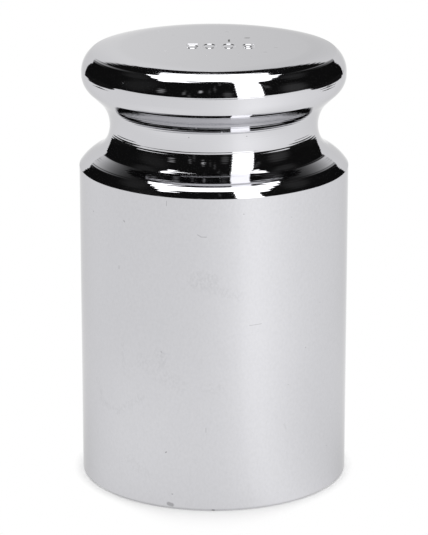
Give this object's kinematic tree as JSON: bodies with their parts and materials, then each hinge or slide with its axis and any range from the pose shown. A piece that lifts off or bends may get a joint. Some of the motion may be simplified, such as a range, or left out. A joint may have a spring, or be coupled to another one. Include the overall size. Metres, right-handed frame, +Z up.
{
  "type": "calibration weight",
  "caption": "Polished knob-shaped cylindrical weight with a waisted neck for a lifting fork and a flat relieved foot, used to check balances.",
  "frame": {"origin": "centre of the foot, on the turning axis, in the plane that the weight stands on", "axes": "+Z up along the turning axis, from the foot to the crown; +X and +Y are free on the turned form, and the figures punched in the crown read from the -Y side"},
  "size_m": [0.0376, 0.0376, 0.0615],
  "materials": {
    "chrome_plate": "bright chrome plate over turned and polished steel"
  },
  "bodies": {
    "root": {"weight": "chrome_plate"}
  },
  "joints": []
}
